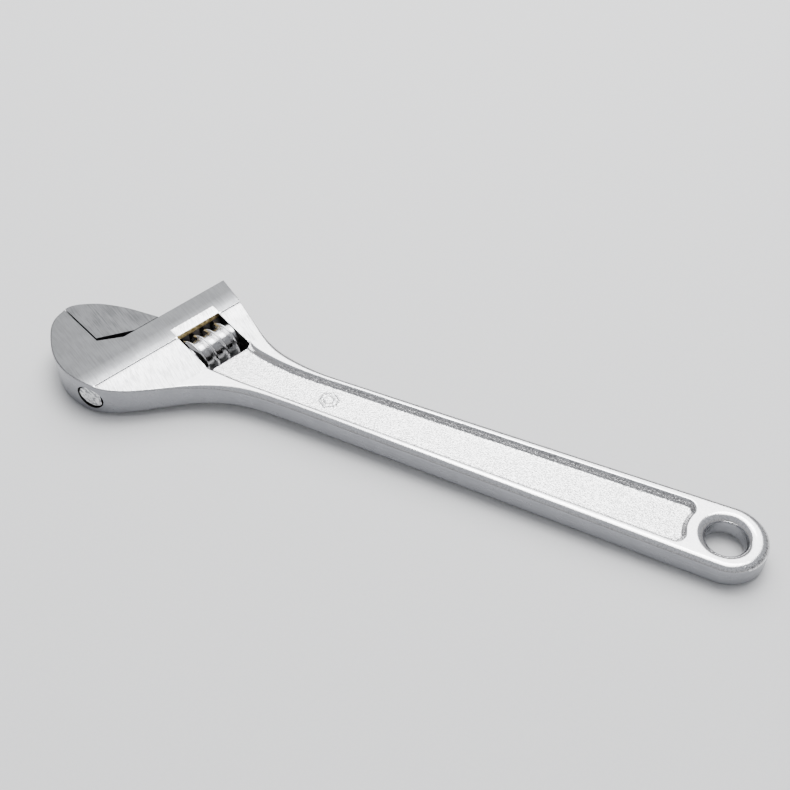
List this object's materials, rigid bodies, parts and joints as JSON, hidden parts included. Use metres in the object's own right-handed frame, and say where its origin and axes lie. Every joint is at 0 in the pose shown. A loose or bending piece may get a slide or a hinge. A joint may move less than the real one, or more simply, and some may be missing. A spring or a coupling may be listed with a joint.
{
  "type": "adjustable wrench",
  "caption": "Adjustable spanner with a forged handle, angled fixed jaw, and a sliding jaw driven by a thumb worm.",
  "frame": {"origin": "centre of the hanging hole, half way through the handle's thickness", "axes": "+X along the handle from the head towards the tail, +Y across the handle on the side that the sliding jaw opens to, +Z square to the flat faces"},
  "size_m": [0.3051, 0.0778, 0.0168],
  "materials": {
    "forged_chrome": "chrome plate over a drop forging, satin ground on the head's flats",
    "satin_chrome": "satin ground chrome plate with fine grinding lines",
    "polished_worm": "bright polished",
    "pin_steel": "turned steel",
    "spring_steel": "dark oiled spring wire"
  },
  "bodies": {
    "root": {"body": "forged_chrome", "worm_pin": "pin_steel", "worm_spring": "spring_steel"},
    "worm": {"adjusting_worm": "polished_worm"},
    "jaw": {"movable_jaw": "satin_chrome"}
  },
  "joints": [
    {"name": "worm_spin", "type": "hinge", "parent": "root", "child": "worm", "pos_m": [-0.2244, 0.00831, 0], "axis": [-0.3827, -0.9239, 0], "range_deg": [-37.1, 2248]},
    {"name": "jaw_slide", "type": "slide", "parent": "root", "child": "jaw", "axis": [0.3827, 0.9239, 0], "range_m": [-0.00055, 0.0334]}
  ],
  "couplings": [
    {"joint": "worm_spin", "follows": "jaw_slide", "rad_per_m": 1174.4}
  ]
}
